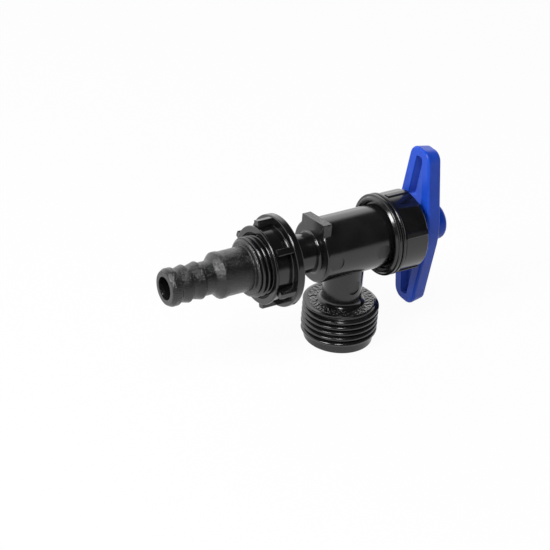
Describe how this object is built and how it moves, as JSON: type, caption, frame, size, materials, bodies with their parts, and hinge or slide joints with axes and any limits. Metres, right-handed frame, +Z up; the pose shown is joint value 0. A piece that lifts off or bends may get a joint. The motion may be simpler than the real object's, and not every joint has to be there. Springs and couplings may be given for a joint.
{
  "type": "washing machine tap",
  "caption": "Angle tap for a washing machine hose: a barbed inlet behind a panel nut, a barrel with a winged quarter-turn lever, and a threaded hose outlet pointing down.",
  "frame": {"origin": "centre of the outlet's mouth, on its end face", "axes": "+Z up, against the outflow; +X along the barrel from the hose barb to the lever; -Y is the side seen in the picture"},
  "size_m": [0.1098, 0.032, 0.0683],
  "materials": {
    "black_body": "semi-gloss black moulded plastic with a fine grain",
    "black_nut": "glossy black moulded plastic",
    "blue_lever": "satin blue moulded plastic",
    "natural_plastic": "uncoloured smooth plastic",
    "rubber": "smooth black rubber",
    "steel": "bright plated steel"
  },
  "bodies": {
    "tap": {"body": "black_body", "bonnet_nut": "black_nut", "thrust_washer": "natural_plastic"},
    "panel_nut": {"backnut": "black_nut"},
    "lever": {"handle": "blue_lever", "handle_screw": "steel", "plug": "natural_plastic", "port_seal": "rubber", "inlet_o_ring": "rubber", "stem_o_ring": "rubber"}
  },
  "joints": [
    {"name": "lever_turn", "type": "hinge", "parent": "tap", "child": "lever", "pos_m": [0, 0, 0.03785], "axis": [1, 0, 0], "range_deg": [0, 90]},
    {"name": "panel_nut_travel", "type": "slide", "parent": "tap", "child": "panel_nut", "axis": [1, 0, 0], "range_m": [-0.007, 0.004]}
  ]
}
